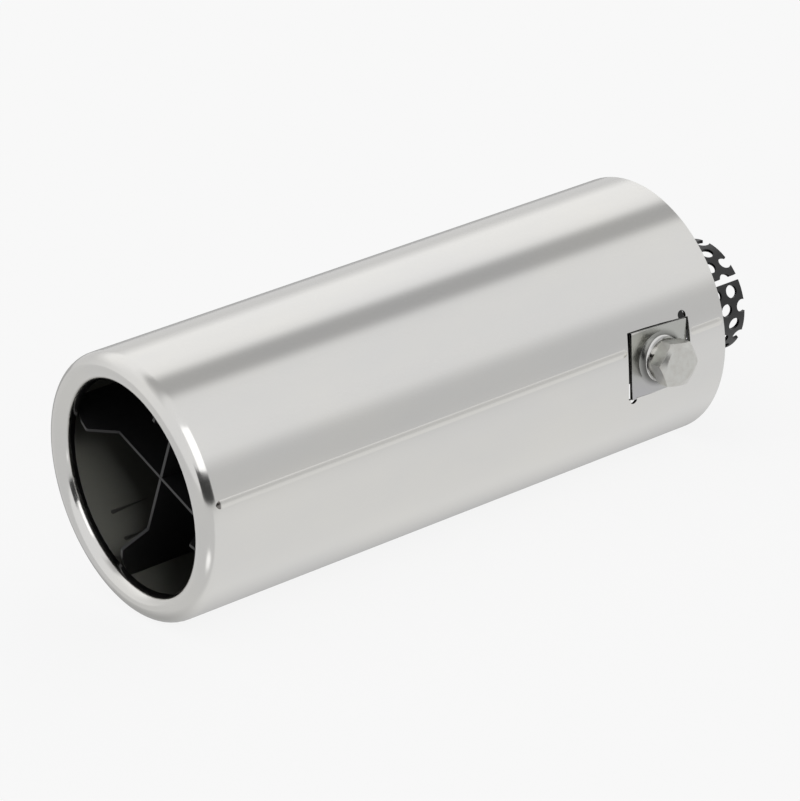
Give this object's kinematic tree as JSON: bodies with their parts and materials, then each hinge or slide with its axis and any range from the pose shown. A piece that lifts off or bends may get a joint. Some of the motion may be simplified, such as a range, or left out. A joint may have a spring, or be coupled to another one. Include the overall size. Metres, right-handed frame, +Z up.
{
  "type": "exhaust tip",
  "caption": "Round polished exhaust tip with a rolled lip, crossed plates behind the mouth, and a split perforated collar that a side bolt clamps on a tailpipe.",
  "frame": {"origin": "centre of the collar's open end, where the tailpipe enters", "axes": "+Y along the collar's axis, from the mouth towards the tailpipe; +X towards the clamp bolt; +Z up. The sleeve's axis runs parallel at x = -9.9 mm"},
  "size_m": [0.0879, 0.209, 0.08],
  "materials": {
    "polished_stainless": "polished",
    "zinc_plate": "satin",
    "black_paint": "semi-gloss"
  },
  "bodies": {
    "root": {"outer_sleeve": "polished_stainless", "clamp_bolt": "zinc_plate", "spring_washer": "zinc_plate", "weld_nut": "zinc_plate", "perforated_collar": "black_paint", "support_ring": "black_paint", "cross_plate_upper_lap": "black_paint", "cross_plate_lower_lap": "black_paint"}
  },
  "joints": []
}
